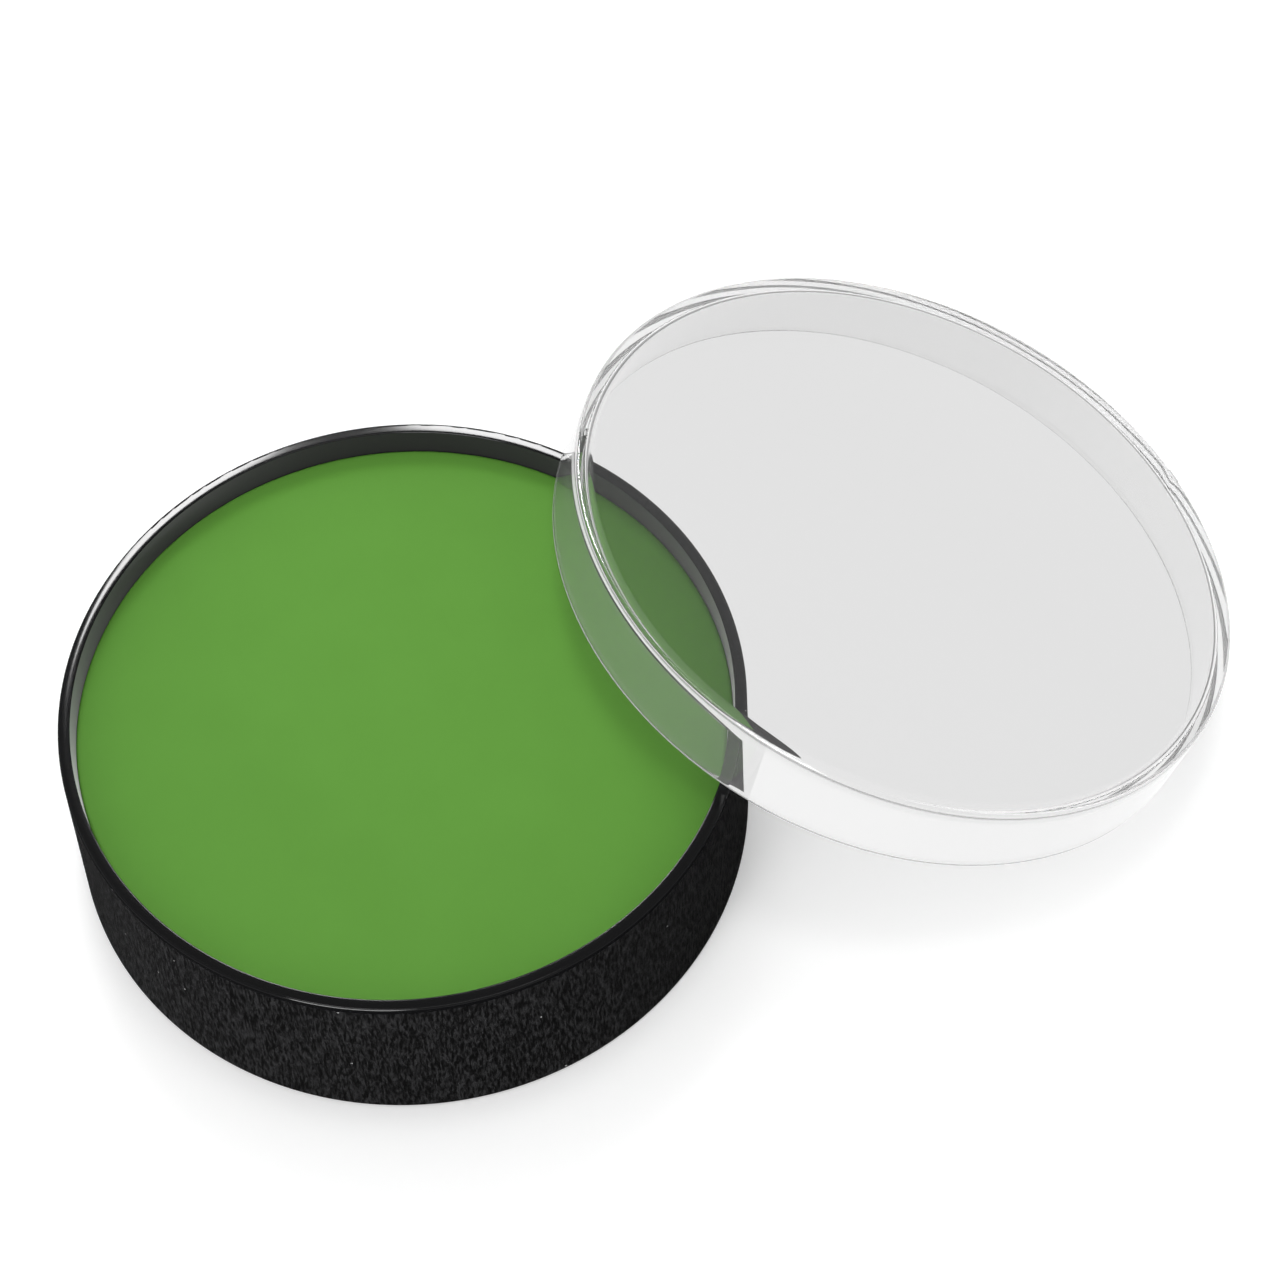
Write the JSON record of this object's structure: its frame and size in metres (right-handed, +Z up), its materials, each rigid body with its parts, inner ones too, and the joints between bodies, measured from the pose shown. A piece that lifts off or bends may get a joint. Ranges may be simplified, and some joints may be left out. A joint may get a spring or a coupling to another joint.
{
  "type": "creme colour pot",
  "caption": "Small round pot of solid creme colour: a black moulded cup with a textured wall, a smooth cake inside, and a clear slip-on lid leaning on its rim.",
  "frame": {"origin": "centre of the cup's underside, on the surface that the pot stands on", "axes": "+Z up along the cup's axis; the lid leans towards +X, with its low side on the surface"},
  "size_m": [0.1104, 0.064, 0.0276],
  "materials": {
    "black_plastic": "black moulded polystyrene, textured outside, polished inside and on the rim",
    "creme": "solid oily creme colour, satin",
    "clear_plastic": "clear polished polystyrene"
  },
  "bodies": {
    "pot": {"base_cup": "black_plastic", "colour_cake": "creme"},
    "lid": {"lid": "clear_plastic"}
  },
  "joints": [
    {"name": "lid_lift", "type": "slide", "parent": "pot", "child": "lid", "axis": [0, 0, 1], "range_m": [0, 0.04]}
  ]
}
